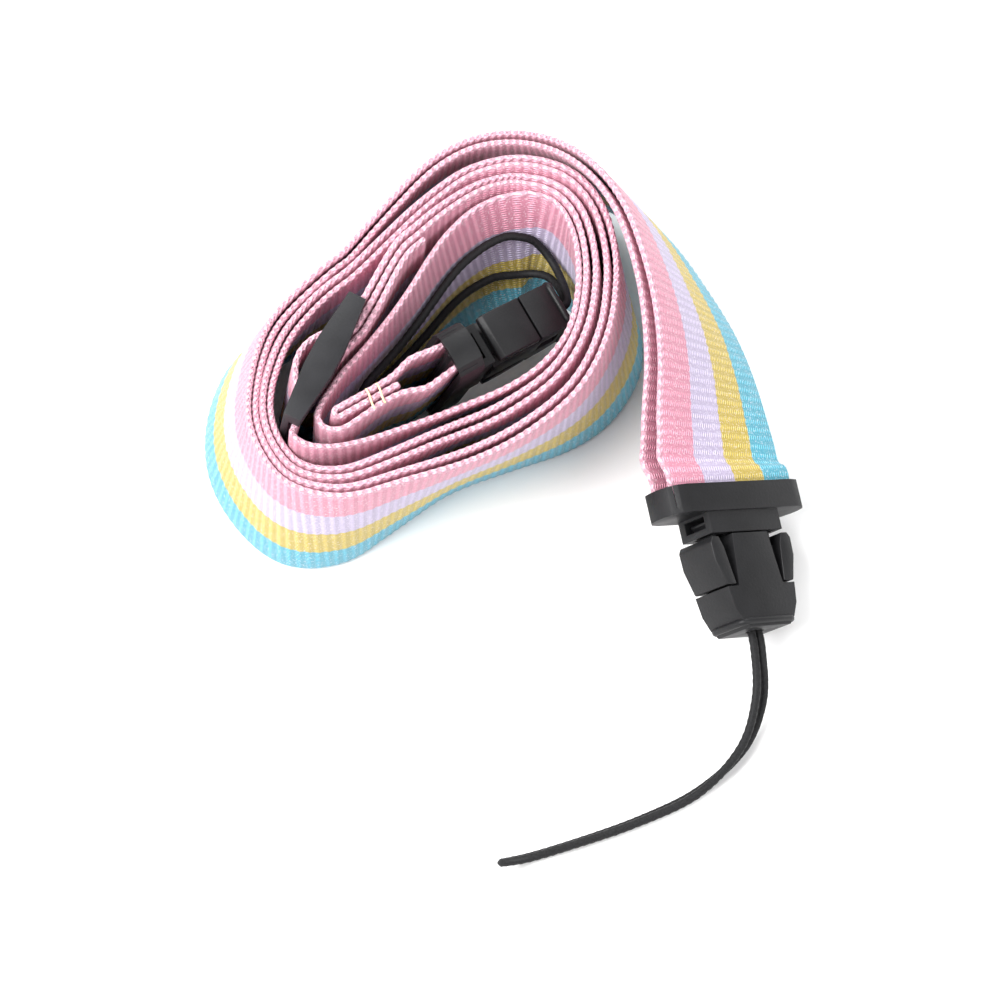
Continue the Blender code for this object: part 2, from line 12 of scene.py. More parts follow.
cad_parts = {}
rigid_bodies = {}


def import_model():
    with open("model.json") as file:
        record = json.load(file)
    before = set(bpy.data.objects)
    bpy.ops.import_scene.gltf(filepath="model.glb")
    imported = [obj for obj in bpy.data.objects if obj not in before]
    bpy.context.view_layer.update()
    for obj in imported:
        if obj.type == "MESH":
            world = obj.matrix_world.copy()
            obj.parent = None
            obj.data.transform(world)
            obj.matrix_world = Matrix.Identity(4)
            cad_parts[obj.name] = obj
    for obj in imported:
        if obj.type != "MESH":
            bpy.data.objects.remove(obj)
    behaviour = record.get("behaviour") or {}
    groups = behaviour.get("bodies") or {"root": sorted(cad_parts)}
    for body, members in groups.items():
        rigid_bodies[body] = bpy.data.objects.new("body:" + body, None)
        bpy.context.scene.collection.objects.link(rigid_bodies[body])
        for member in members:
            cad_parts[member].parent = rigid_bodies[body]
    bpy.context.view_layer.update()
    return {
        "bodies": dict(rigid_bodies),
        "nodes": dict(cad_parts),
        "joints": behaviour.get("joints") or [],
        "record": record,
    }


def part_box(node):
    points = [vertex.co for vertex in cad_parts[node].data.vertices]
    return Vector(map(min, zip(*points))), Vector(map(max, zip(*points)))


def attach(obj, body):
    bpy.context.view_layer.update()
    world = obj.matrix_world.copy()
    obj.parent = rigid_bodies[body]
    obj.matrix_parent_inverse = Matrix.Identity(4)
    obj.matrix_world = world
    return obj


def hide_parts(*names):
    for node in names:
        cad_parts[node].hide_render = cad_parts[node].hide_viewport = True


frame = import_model()

MM = 0.001

# Webbing, in millimetres like every size below
WEB_WIDTH = 25.0
WEB_THICK = 0.95
SEWN_PITCH = 1.25  # middle to middle of layers sewn on each other
CLEARANCE = 0.3  # between any two pieces

# Buckle: x runs across it, y from the strap to the cord, z through its thickness
COLLAR_DEPTH = 4.2
BAR = 2.0
BAR_AT = 0.8
HEAD_DEPTH = 3.2
PLUG_LENGTH = 14.2
PLUG_THICK = 7.2
PLUG_END_WIDTH = 10.6

# Cord loop and its knot
CORD = 1.2
CORD_SPACING = CORD + CLEARANCE
CORD_EXIT = 1.6  # how far it runs straight on from the plug
KNOT = (3.8, 2.6, 3.6)
KNOT_INSET = 3.9  # middle of the knot from the end of the plug

# Slider: x runs along the strap, y through its thickness, z across the strap
SLIDER_BAR_THICK = 1.4

# Where things stand. A strand on edge is given by its upper selvedge: x, y, how far it leans to its left
# as it runs, and how far its lower selvedge is lifted.
SLIDER_AT = (-27.5, 10.1, 15.9)
SLIDER_HEADING = math.radians(65.0)
SLIDER_RISE = 0.0
SLIDER_LEAN = math.radians(-9.0)
BUCKLE_A_AT = (32.8, -3.6, 12.2)
BUCKLE_A_TURN = math.radians(-77.5)
BUCKLE_A_DIP = math.radians(12.5)
BUCKLE_A_ROLL = math.radians(37.0)
BUCKLE_B_AT = (-9.9, 13.1, 15.8)
BUCKLE_B_TURN = math.radians(32.5)
BUCKLE_B_DIP = math.radians(3.0)
BUCKLE_B_ROLL = math.radians(74.0)

# The middle line between the two strands of the doubled strap on its second turn, clockwise from the
# slider: x, y, lean outwards, the step in to the turn before, and the gap between the strands.
TURN = (
    (-21.9, 26.0, -3.5, 2.80, 1.35),
    (-18.1, 30.2, -1.5, 2.80, 1.35),
    (-11.2, 37.9, 2.5, 2.80, 1.35),
    (-4.5, 43.5, 5.5, 2.90, 1.35),
    (3.0, 45.4, 6.0, 2.90, 1.40),
    (9.9, 43.3, 3.5, 2.90, 1.40),
    (14.3, 37.7, -0.5, 2.95, 1.40),
    (16.3, 29.7, -3.5, 3.05, 1.45),
    (16.3, 23.0, -4.5, 3.05, 1.45),
    (14.6, 14.7, -2.0, 3.20, 1.45),
    (10.8, 7.0, 2.4, 3.60, 1.50),
    (3.6, 0.7, 5.8, 4.20, 1.60),
    (-5.5, -4.0, 6.6, 4.60, 1.60),
    (-14.5, -7.3, 3.8, 3.50, 1.50),
    (-23.1, -9.6, 0.5, 2.90, 1.40),
    (-30.6, -7.3, -3.0, 2.40, 1.25),
    (-35.0, -0.8, -5.5, 2.20, 1.15),
    (-36.0, 7.1, -8.0, 2.20, 1.15),
    (-33.8, 16.9, -8.5, 2.70, 1.25),
    (-27.4, 24.9, -6.5, 2.80, 1.35),
)
TURN_RELAX = 1.0  # each turn leans in this much more than the one inside it
SLIDER_LIFT = (2.6, 1.3, 0.3)  # of the coil's first stations, where it comes down from the slider
# The doubled end from above the slider, over the coil and down to its buckle: x, y, lean, lift, and the
# gap between its two strands.
TAIL = (
    (-23.2, 28.9, -8.0, 0.0, 1.35),
    (-16.9, 36.7, -7.0, 0.0, 1.35),
    (-10.0, 44.4, -5.5, 0.0, 1.35),
    (-4.3, 47.9, -4.5, 0.0, 1.35),
    (1.0, 48.9, -4.5, 0.2, 1.45),
    (6.2, 48.1, -5.5, 0.8, 1.50),
    (11.0, 45.3, -7.0, 2.0, 1.50),
    (14.9, 40.8, -8.5, 3.6, 1.50),
    (18.0, 34.7, -10.0, 5.2, 1.50),
    (20.2, 27.0, -12.0, 6.4, 1.70),
    (21.5, 19.7, -14.0, 6.8, 2.10),
    (22.1, 12.4, -15.8, 6.4, 2.50),
    (21.9, 6.2, -17.4, 5.6, 3.00),
    (21.8, 0.4, -18.8, 4.8, 3.60),
)
# The single strand from beside the sewn stack, up inside the slider and once around: x, y, lean, lift.
INNER = (
    (-23.0, -1.2, 1.8, 3.4),
    (-24.7, -1.3, 1.2, 3.6),
    (-25.9, -0.5, -0.2, 3.7),
    (-26.4, 0.9, -1.4, 3.7),
    (-25.9, 2.7, -2.2, 3.5),
    (-24.7, 5.0, -2.7, 3.1),
    (-22.7, 8.6, -2.8, 2.4),
    (-20.5, 11.7, -2.2, 1.6),
    (-16.3, 18.0, -0.4, 0.6),
    (-13.0, 23.7, 1.6, 0.1),
    (-10.6, 28.3, 3.0, 0.0),
    (-8.0, 32.5, 4.5, 0.0),
    (-4.0, 37.0, 6.5, 0.0),
    (0.0, 39.4, 8.0, 0.0),
    (3.6, 40.1, 8.0, 0.0),
    (6.9, 39.2, 6.0, 0.0),
    (9.1, 37.0, 3.5, 0.0),
    (10.7, 33.4, 0.8, 0.0),
    (11.5, 29.2, -1.5, 0.0),
    (11.5, 23.0, -2.6, 0.0),
    (10.0, 16.3, 0.0, 0.0),
    (6.4, 11.2, 4.2, 0.0),
    (1.6, 7.8, 7.8, 0.0),
    (-5.6, 4.4, 8.4, 0.1),
    (-13.1, 0.9, 6.4, 0.5),
    (-20.3, -2.3, 3.0, 1.4),
    (-24.8, -3.4, 0.4, 2.0),
    (-28.0, -3.1, -1.4, 2.4),
    (-29.9, -1.8, -2.6, 2.8),
)
# The sewn stack behind buckle b, in the buckle's own y and z: the cut end lies between the two layers.
STACK_CUT = -8.5
STACK_END = -18.8
TUCK_FROM = -6.0
STACK_TUCK = 3.6  # how far the fold's lower selvedge is pulled to the near side
# Strands through the slider, in the slider's own x and y.
THROUGH = (
    (-9.8, -0.6),
    (-7.9, -0.3),
    (-5.2, 1.6),
    (-2.8, 3.1),
    (-0.8, 3.7),
    (0.8, 3.7),
    (2.8, 3.1),
    (5.2, 1.5),
    (7.9, -0.5),
    (9.8, -0.6),
    (12.0, -0.7),
)
RETURN = ((12.0, -1.95), (9.8, -1.85), (7.5, -1.7), (4.8, -0.6), (2.3, 1.0), (1.0, 1.45), (-0.8, 1.475))
SEWN_END = ((-0.8, -1.475), (1.2, -1.55), (4.8, -2.2), (7.6, -2.95), (9.8, -3.1), (12.0, -3.2))
SEWN_STATIONS = 2  # how many stations of the coil the sewn end runs beside

# Cord loops: out along one strand from the plug, round the far bend and back along the other.
LOOP_A = (
    (37.5, -28.6, 6.4),
    (37.6, -33.0, 4.7),
    (35.6, -40.4, 3.4),
    (29.2, -47.9, 3.3),
    (20.4, -52.6, 3.7),
    (8.7, -57.0, 4.4),
    (3.6, -58.7, 4.9),
    (0.2, -58.6, 2.9),
    (3.4, -57.2, 0.75),
    (8.7, -55.6, 0.75),
    (20.4, -51.3, 0.75),
    (29.2, -46.7, 0.75),
    (36.3, -39.7, 1.0),
    (38.8, -33.0, 2.7),
    (38.7, -28.6, 5.2),
)
LOOP_B = (
    (8.4, 32.7, 13.4),
    (6.4, 35.2, 14.6),
    (5.0, 36.0, 15.8),
    (3.5, 36.1, 16.6),
    (1.3, 36.0, 17.2),
    (-1.9, 34.4, 17.4),
    (-5.8, 30.8, 17.6),
    (-8.5, 27.1, 17.6),
    (-11.3, 22.7, 17.4),
    (-15.1, 17.2, 17.2),
    (-19.8, 11.2, 17.0),
    (-21.0, 9.8, 14.8),
    (-20.1, 11.4, 12.6),
    (-15.0, 17.2, 12.0),
    (-10.8, 22.5, 11.6),
    (-7.8, 26.7, 11.2),
    (-4.7, 30.0, 10.8),
    (-0.6, 32.7, 10.2),
    (1.6, 33.2, 9.8),
    (3.6, 33.5, 9.6),
    (5.4, 33.4, 9.9),
    (7.1, 32.6, 10.6),
    (8.4, 31.0, 11.4),
)

COIL_STEP = 4.0
CORD_STEP = 3.3


# Frames: each gives world millimetres from the piece's own

def buckle_frame(at, turn, dip, roll):
    heading = Vector((math.cos(turn) * math.cos(dip), math.sin(turn) * math.cos(dip), -math.sin(dip)))
    right = Vector((math.sin(turn), -math.cos(turn), 0))
    across = right * math.cos(roll) + right.cross(heading) * math.sin(roll)
    axes = Matrix((across, heading, across.cross(heading))).transposed()
    return Matrix.Translation(at) @ axes.to_4x4()


def slider_frame():
    heading = Vector((math.cos(SLIDER_HEADING), math.sin(SLIDER_HEADING), math.tan(SLIDER_RISE)))
    heading.normalize()
    left = Vector((-math.sin(SLIDER_HEADING), math.cos(SLIDER_HEADING), 0))
    across = heading.cross(left) * math.cos(SLIDER_LEAN) + left * math.sin(SLIDER_LEAN)
    axes = Matrix((heading, across.cross(heading), across)).transposed()
    return Matrix.Translation(SLIDER_AT) @ axes.to_4x4()


FRAME_A = buckle_frame(BUCKLE_A_AT, BUCKLE_A_TURN, BUCKLE_A_DIP, BUCKLE_A_ROLL)
FRAME_B = buckle_frame(BUCKLE_B_AT, BUCKLE_B_TURN, BUCKLE_B_DIP, BUCKLE_B_ROLL)
FRAME_SLIDER = slider_frame()


# Curves

def smooth(points, longest):
    """Points no further apart than longest on a centripetal Catmull-Rom curve through the given ones."""
    given = np.asarray(points, float)
    given = np.vstack((2 * given[0] - given[1], given, 2 * given[-1] - given[-2]))
    found = []
    for a, b, c, d in zip(given, given[1:], given[2:], given[3:]):
        spans = [math.sqrt(np.linalg.norm(v)) for v in (b - a, c - b, d - c)]
        t = np.concatenate(([0.0], np.cumsum(spans)))
        count = max(1, math.ceil(np.linalg.norm(c[:3] - b[:3]) / longest))
        for s in np.linspace(t[1], t[2], count, endpoint=False):
            ab = (a * (t[1] - s) + b * s) / t[1]
            bc = (b * (t[2] - s) + c * (s - t[1])) / (t[2] - t[1])
            cd = (c * (t[3] - s) + d * (s - t[2])) / (t[3] - t[2])
            abc = (ab * (t[2] - s) + bc * s) / t[2]
            bcd = (bc * (t[3] - s) + cd * (s - t[1])) / (t[3] - t[1])
            found.append((abc * (t[2] - s) + bcd * (s - t[1])) / (t[2] - t[1]))
    return np.array(found + [given[-2]])


def directions(points):
    """The direction of travel at each point."""
    ahead = np.diff(points, axis=0)
    ahead /= np.linalg.norm(ahead, axis=1)[:, None]
    along = np.vstack((ahead[:1], ahead[:-1] + ahead[1:], ahead[-1:]))
    return along / np.linalg.norm(along, axis=1)[:, None]


def leftwards(points):
    """The level direction to the left of travel at each point."""
    along = directions(np.asarray(points, float)[:, :2])
    return np.column_stack((-along[:, 1], along[:, 0], np.zeros(len(along))))


def arc(centre, radius, start, end, count):
    """Points on a flat arc; the angles are in degrees."""
    angles = np.radians(np.linspace(start, end, count))
    return [(centre[0] + radius * math.cos(a), centre[1] + radius * math.sin(a)) for a in angles]


# The webbing's route. A station is its upper and lower selvedge as one row of six numbers.

def standing(rows, square=False):
    """Stations of a strand on edge, from rows of x, y, lean, lift. A square one tips back where it climbs."""
    rows = np.asarray(rows, float)
    left, lean, lift = leftwards(rows), rows[:, 2:3], rows[:, 3:4]
    upper = np.column_stack((rows[:, :2], lift + np.sqrt(WEB_WIDTH**2 - lean**2)))
    lower = np.column_stack((rows[:, :2], lift)) - left * lean
    if square:
        middle, along = (upper + lower) / 2, directions((upper + lower) / 2)
        across = upper - lower
        across -= along * np.sum(across * along, axis=1)[:, None]
        across *= WEB_WIDTH / 2 / np.linalg.norm(across, axis=1)[:, None]
        upper, lower = middle + across, middle - across
    return np.hstack((upper, lower))


def shifted(stations, distance):
    """The stations moved off the face that is on the left as the strand runs."""
    normal = ribbon(stations)[2]
    return stations + np.hstack((normal, normal)) * np.reshape(distance, (-1, 1))


def in_buckle(frame, rows, tuck=0.0):
    """Stations from the buckle's y and z, with the upper selvedge at +x."""
    half = WEB_WIDTH / 2
    found = []
    for y, z in rows:
        pull = tuck * max(0.0, (y - TUCK_FROM) / (STACK_END - TUCK_FROM))
        found.append((*(frame @ Vector((half, y, z))), *(frame @ Vector((-half, y, z - pull)))))
    return np.array(found)


def in_slider(rows):
    half = WEB_WIDTH / 2
    return np.array(
        [(*(FRAME_SLIDER @ Vector((x, y, half))), *(FRAME_SLIDER @ Vector((x, y, -half)))) for x, y in rows]
    )


BAR_TURN = BAR / 2 + CLEARANCE + WEB_THICK / 2  # middle of the strap from the middle of the bar
SLIDER_BAR_TURN = SLIDER_BAR_THICK / 2 + CLEARANCE + WEB_THICK / 2


def coil_rows():
    """The doubled strap's middle line: x, y, lean, lift, gap."""
    ring = np.array(TURN)
    outwards = leftwards(np.vstack((ring[-1:], ring, ring[:1])))[1:-1, :2]
    inner_turn = [
        (*(row[:2] - row[3] * normal), row[2] + TURN_RELAX, 0.0, row[4])
        for row, normal in zip(ring, outwards)
    ]
    outer_turn = [(row[0], row[1], row[2], 0.0, row[4]) for row in ring]
    rows = np.array(inner_turn[1:] + outer_turn + list(TAIL))
    rows[: len(SLIDER_LIFT), 3] = SLIDER_LIFT
    return rows


def strap_route():
    near = SEWN_PITCH
    stack_b = (
        [(STACK_CUT, 0.0), (-12.0, 0.0), (STACK_END + 1.0, 0.0)]
        + arc((STACK_END + 0.4, near / 2), near / 2, 250, 110, 4)
        + [(STACK_END + 1.0, near), (-12.0, near), (-8.5, near + 0.2)]
        + [(-5.0, near + 1.1), (-2.0, BAR_TURN + 0.3)]
        + arc((BAR_AT, 0.0), BAR_TURN, 90, -90, 7)
        + [(-2.0, -BAR_TURN - 0.4), (-5.0, -near - 1.2), (-8.5, -near - 0.2)]
        + [(-12.0, -near), (-15.2, -near - 0.3)]
    )
    coil = smooth(coil_rows(), COIL_STEP)
    middle = standing(coil[:, :4], square=True)
    half_gap = coil[:, 4] / 2
    bar_a = [(-2.2, BAR_TURN)] + arc((BAR_AT, 0.0), BAR_TURN, 90, -90, 7) + [(-2.2, -BAR_TURN)]
    loop = arc((-0.8, 0.0), SLIDER_BAR_TURN, 120, 240, 4)
    sewn = shifted(middle[:SEWN_STATIONS], -half_gap[:SEWN_STATIONS] - SEWN_PITCH)
    return np.vstack((
        in_buckle(FRAME_B, stack_b, STACK_TUCK),
        standing(INNER),
        in_slider(THROUGH),
        shifted(middle, half_gap),
        in_buckle(FRAME_A, bar_a),
        shifted(middle, -half_gap)[::-1],
        in_slider(list(RETURN) + loop + list(SEWN_END)),
        sewn,
    ))


def ribbon(stations):
    """Middle, width direction and face direction at each station."""
    middle = (stations[:, :3] + stations[:, 3:]) / 2
    across = stations[:, :3] - stations[:, 3:]
    across /= np.linalg.norm(across, axis=1)[:, None]
    face = np.cross(across, directions(middle))
    return middle, across, face / np.linalg.norm(face, axis=1)[:, None]


HEAD_END = COLLAR_DEPTH + HEAD_DEPTH
PLUG_AT = HEAD_END + CLEARANCE
PLUG_END = PLUG_AT + PLUG_LENGTH
KNOT_AT = PLUG_END - KNOT_INSET
CORD_FROM = KNOT_AT + KNOT[1] / 2 + CLEARANCE

# How the webbing is woven
RIB_PITCH = 1.35
RIB_STEPS = 4  # sections to a rib
RIB_HEIGHT = 0.12
SCALLOP = 0.22  # of the selvedge, in and out
YARN_PITCH = 0.46
FACE_POINTS = 9
STRIPES = (  # how far down the strap each one starts, and its colour
    (0.0, (0.86, 0.33, 0.46)),
    (0.28, (0.66, 0.57, 0.80)),
    (0.53, (0.70, 0.52, 0.09)),
    (0.77, (0.10, 0.50, 0.67)),
)
SELVEDGE = (0.90, 0.46, 0.58)

# Moulded plastic: rounded edges, and the bead around each plug's end
BUCKLE_EDGE = 0.35
ARM_EDGE = 0.3
END_BEAD = 0.55
END_BEAD_INSET = 0.9
END_BEAD_CORNER = 1.0
END_BEAD_SINK = 0.3  # how much smaller the bead's outline is than the plug's
BODIES = {"a": ("plug_a", "arm_left_a", "arm_right_a"), "b": ("root", "arm_left_b", "arm_right_b")}

# Stitches over the sewn stack of buckle B
STITCH_AT = (-11.6, -13.4)
STITCH_REACH = 1.7
STITCH_CROWN = 0.25
STITCH_SWAY = 0.2
STITCH_SWEEP = 1.2  # radians each way
STITCH_RADIUS = 0.16
STITCH_SIDES = 8

# How the cord is braided
CORD_SIDES = 14
BRAID_PITCH = 2.4
BRAID_DEPTH = 0.09
CORD_FINE_STEP = 0.3

BOX_MIDDLE = sum((Vector(corner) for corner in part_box("slider")), Vector()) / 2
ORIGIN = BOX_MIDDLE / MM - Vector(SLIDER_AT)  # from the layout above to the row frame


# Camera, light and floor

VIEW_ELEVATION = math.radians(66.0)
VIEW_DISTANCE = 560.0
VIEW_WIDTH = 151.5  # millimetres across the picture at the layout's origin
SENSOR = 36.0


def place(obj, at, aim):
    obj.location = Vector(at) * MM
    obj.rotation_euler = (Vector(aim) - Vector(at)).to_track_quat("-Z", "Y").to_euler()
    bpy.context.scene.collection.objects.link(obj)


def make_camera():
    data = bpy.data.cameras.new("camera")
    data.sensor_width = SENSOR
    data.lens = SENSOR / VIEW_WIDTH * VIEW_DISTANCE
    data.clip_start = 0.02
    camera = bpy.data.objects.new("camera", data)
    away = Vector((0, -math.cos(VIEW_ELEVATION), math.sin(VIEW_ELEVATION)))
    place(camera, ORIGIN + away * VIEW_DISTANCE, ORIGIN)
    bpy.context.scene.camera = camera


def make_light(name, at, size, power):
    data = bpy.data.lights.new(name, "AREA")
    data.shape = "DISK"
    data.size = size * MM
    data.energy = power
    place(bpy.data.objects.new(name, data), at, (0, 0, 10))


def make_studio():
    make_light("key_light", (-330, -120, 520), 420, 7.0)
    make_light("fill_light", (420, -300, 380), 500, 2.0)
    make_light("back_light", (60, 480, 420), 420, 2.5)
    world = bpy.data.worlds.new("studio")
    world.use_nodes = True
    world.node_tree.nodes["Background"].inputs["Color"].default_value = (1.0, 1.0, 1.0, 1.0)
    world.node_tree.nodes["Background"].inputs["Strength"].default_value = 0.62
    bpy.context.scene.world = world
    bpy.context.scene.view_settings.view_transform = "Standard"
    shape = bmesh.new()
    bmesh.ops.create_grid(shape, size=1500 * MM)
    floor = link_mesh("floor", shape)
    floor.data.materials.append(floor_material())


# Materials

class Shading:
    """A material's node tree, with short ways to add to it."""

    def __init__(self, name, roughness, colour=(0.8, 0.8, 0.8)):
        self.material = bpy.data.materials.new(name)
        self.material.use_nodes = True
        self.tree = self.material.node_tree
        self.shader = self.tree.nodes["Principled BSDF"]
        self.shader.inputs["Base Color"].default_value = (*colour, 1.0)
        self.shader.inputs["Roughness"].default_value = roughness

    def feed(self, socket, value):
        if hasattr(value, "is_linked"):
            self.tree.links.new(value, socket)
        else:
            socket.default_value = value

    def math(self, operation, *values):
        node = self.tree.nodes.new("ShaderNodeMath")
        node.operation = operation
        for socket, value in zip(node.inputs, values):
            self.feed(socket, value)
        return node.outputs[0]

    def attribute(self, name):
        node = self.tree.nodes.new("ShaderNodeAttribute")
        node.attribute_name = name
        return node.outputs["Fac"]

    def position(self):
        return self.tree.nodes.new("ShaderNodeTexCoord").outputs["Object"]

    def noise(self, scale, detail=3.0, at=None):
        node = self.tree.nodes.new("ShaderNodeTexNoise")
        node.inputs["Scale"].default_value = scale
        node.inputs["Detail"].default_value = detail
        self.feed(node.inputs["Vector"], at or self.position())
        return node.outputs["Fac"]

    def ramp(self, value, stops, constant=False):
        node = self.tree.nodes.new("ShaderNodeValToRGB")
        if constant:
            node.color_ramp.interpolation = "CONSTANT"
        elements = node.color_ramp.elements
        for i, (at, colour) in enumerate(stops):
            element = elements[i] if i < 2 else elements.new(at)
            element.position = at
            element.color = (*colour, 1.0)
        self.feed(node.inputs[0], value)
        return node.outputs[0]

    def spread(self, value, low, high, out_low, out_high):
        node = self.tree.nodes.new("ShaderNodeMapRange")
        for socket, number in zip(node.inputs, (value, low, high, out_low, out_high)):
            self.feed(socket, number)
        return node.outputs[0]

    def mix(self, share, one, two, kind="MIX"):
        node = self.tree.nodes.new("ShaderNodeMix")
        node.data_type = "RGBA"
        node.blend_type = kind
        self.feed(node.inputs[0], share)
        self.feed(node.inputs[6], one)
        self.feed(node.inputs[7], two)
        return node.outputs[2]

    def bump(self, height, distance, strength=1.0):
        node = self.tree.nodes.new("ShaderNodeBump")
        node.inputs["Distance"].default_value = distance * MM
        node.inputs["Strength"].default_value = strength
        self.feed(node.inputs["Height"], height)
        self.feed(self.shader.inputs["Normal"], node.outputs[0])


def grey(level):
    return (level, level, level, 1.0)


def floor_material():
    look = Shading("pale_floor", 0.9)
    shade = look.noise(14.0)
    look.feed(look.shader.inputs["Base Color"], look.ramp(shade, ((0.0, (0.86,) * 3), (1.0, (0.90,) * 3))))
    return look.material


def webbing_material():
    """Four stripes of ribbed weave with painted highlights on the yarn dashes of each rib and painted shade
    between the ribs, and a plaited selvedge.
    """
    look = Shading("striped_webbing", 0.55)
    along, down, through = (look.attribute(name) for name in ("along", "down", "through"))
    wander = look.math("MULTIPLY", look.math("SUBTRACT", look.noise(900.0), 0.5), 0.02)
    stripes = look.ramp(look.math("ADD", down, wander), STRIPES, constant=True)
    rib = look.math("SINE", look.math("MULTIPLY", along, 2 * math.pi / RIB_PITCH))
    yarns = look.math("MULTIPLY", down, 2 * math.pi * WEB_WIDTH / YARN_PITCH)
    yarn = look.math("SINE", yarns)
    crossing = look.math(
        "MULTIPLY", look.spread(rib, -0.4, 1.0, 0.0, 1.0), look.spread(yarn, -0.6, 1.0, 0.0, 1.0)
    )
    slant = look.math("MULTIPLY", look.math("ABSOLUTE", through), 0.9)
    plait = look.math("SINE", look.math("MULTIPLY", look.math("ADD", along, slant), 2 * math.pi / RIB_PITCH))
    edge = look.spread(down, 0.012, 0.035, 1.0, 0.0)
    heather = look.noise(2600.0, 2.0)
    flat = look.mix(edge, stripes, (*SELVEDGE, 1.0))
    # painted light: the base colour is brightened as a painted highlight where rib and yarn cross, and
    # darkened as painted shade between the ribs
    light = look.mix(crossing, grey(0.52), grey(1.18))
    shaded = look.mix(1.0, flat, light, "MULTIPLY")
    mottled = look.mix(look.spread(heather, 0.35, 0.7, 0.0, 0.5), shaded, grey(0.78), "SOFT_LIGHT")
    fleck = look.spread(look.noise(3600.0, 1.0), 0.58, 0.70, 0.0, 0.38)
    look.feed(look.shader.inputs["Base Color"], look.mix(fleck, mottled, (0.90, 0.84, 0.90, 1.0)))
    weave = look.math("ADD", crossing, look.math("MULTIPLY", heather, 0.5))
    height = look.math("ADD", weave, look.math("MULTIPLY", look.math("MULTIPLY", plait, edge), 0.7))
    look.bump(height, 0.16, 1.0)
    look.feed(look.shader.inputs["Roughness"], look.spread(crossing, 0.0, 1.0, 0.68, 0.42))
    look.shader.inputs["Sheen Weight"].default_value = 0.25
    look.shader.inputs["Sheen Roughness"].default_value = 0.4
    return look.material


def plastic_material(name, tone):
    """Moulded black plastic: fine spark grain, slightly polished where hands rub it."""
    look = Shading(name, 0.45)
    grain = look.noise(2400.0, 4.0)
    broad = look.noise(160.0, 2.0)
    colour = look.ramp(broad, ((0.3, tuple(0.8 * t for t in tone)), (0.7, tuple(1.25 * t for t in tone))))
    look.feed(look.shader.inputs["Base Color"], colour)
    look.feed(look.shader.inputs["Roughness"], look.spread(broad, 0.3, 0.7, 0.40, 0.56))
    look.bump(grain, 0.05, 0.6)
    look.shader.inputs["Specular IOR Level"].default_value = 0.3
    return look.material


def cord_material():
    look = Shading("braided_cord", 0.6)
    fibre = look.noise(4200.0, 3.0)
    look.feed(
        look.shader.inputs["Base Color"],
        look.ramp(fibre, ((0.35, (0.003, 0.003, 0.003)), (0.72, (0.018, 0.018, 0.020)))),
    )
    look.feed(look.shader.inputs["Roughness"], look.spread(fibre, 0.3, 0.7, 0.5, 0.75))
    look.bump(fibre, 0.05, 0.8)
    look.shader.inputs["Specular IOR Level"].default_value = 0.25
    return look.material


def thread_material():
    look = Shading("sewing_thread", 0.6)
    twist = look.noise(3000.0, 2.0)
    look.feed(
        look.shader.inputs["Base Color"],
        look.ramp(twist, ((0.3, (0.72, 0.55, 0.28)), (0.7, (0.90, 0.76, 0.48)))),
    )
    look.bump(twist, 0.03)
    return look.material


# Meshes

def link_mesh(name, shape, smooth_faces=False):
    mesh = bpy.data.meshes.new(name)
    shape.to_mesh(mesh)
    shape.free()
    if smooth_faces:
        mesh.shade_smooth()
    obj = bpy.data.objects.new(name, mesh)
    bpy.context.scene.collection.objects.link(obj)
    return obj


def skin(name, rings, attributes=None):
    """A closed tube over rings of points in layout millimetres, with end caps."""
    rings = np.asarray(rings)
    count, sides = rings.shape[:2]
    points = (rings.reshape(-1, 3) + np.array(ORIGIN)) * MM
    one = np.arange(count - 1)[:, None] * sides + np.arange(sides)
    two = np.arange(count - 1)[:, None] * sides + (np.arange(sides) + 1) % sides
    quads = np.stack((one, two, two + sides, one + sides), -1).reshape(-1, 4).tolist()
    caps = [list(range(sides))[::-1], list(range((count - 1) * sides, count * sides))]
    mesh = bpy.data.meshes.new(name)
    mesh.from_pydata(points.tolist(), [], quads + caps)
    for key, values in (attributes or {}).items():
        layer = mesh.attributes.new(key, "FLOAT", "POINT")
        layer.data.foreach_set("value", np.asarray(values, np.float32).reshape(-1))
    shape = bmesh.new()
    shape.from_mesh(mesh)
    bmesh.ops.recalc_face_normals(shape, faces=shape.faces)
    shape.to_mesh(mesh)
    shape.free()
    mesh.shade_smooth()
    obj = bpy.data.objects.new(name, mesh)
    bpy.context.scene.collection.objects.link(obj)
    return obj


def evenly(points, step):
    """Points the same distance apart along a line, and how far along each one is."""
    points = np.asarray(points, float)
    middle = points if points.shape[1] == 3 else (points[:, :3] + points[:, 3:]) / 2
    reach = np.concatenate(([0.0], np.cumsum(np.linalg.norm(np.diff(middle, axis=0), axis=1))))
    marks = np.linspace(0.0, reach[-1], round(reach[-1] / step) + 1)
    return np.column_stack([np.interp(marks, reach, column) for column in points.T]), marks


def web_profile():
    """Points around the strap's section as (across, through): 1 is the upper selvedge, and the left face."""
    flat = 1 - WEB_THICK / WEB_WIDTH
    found = []
    for sign, steps in ((1, 4), (-1, 3)):  # the edge that shows is rounder
        faces = np.linspace(-sign * flat, sign * flat, FACE_POINTS)
        found += [(a, -sign) for a in faces]
        for angle in np.linspace(0, math.pi, steps + 2)[1:-1]:
            found.append((sign * (flat + (1 - flat) * math.sin(angle)), -sign * math.cos(angle)))
    return np.array(found)


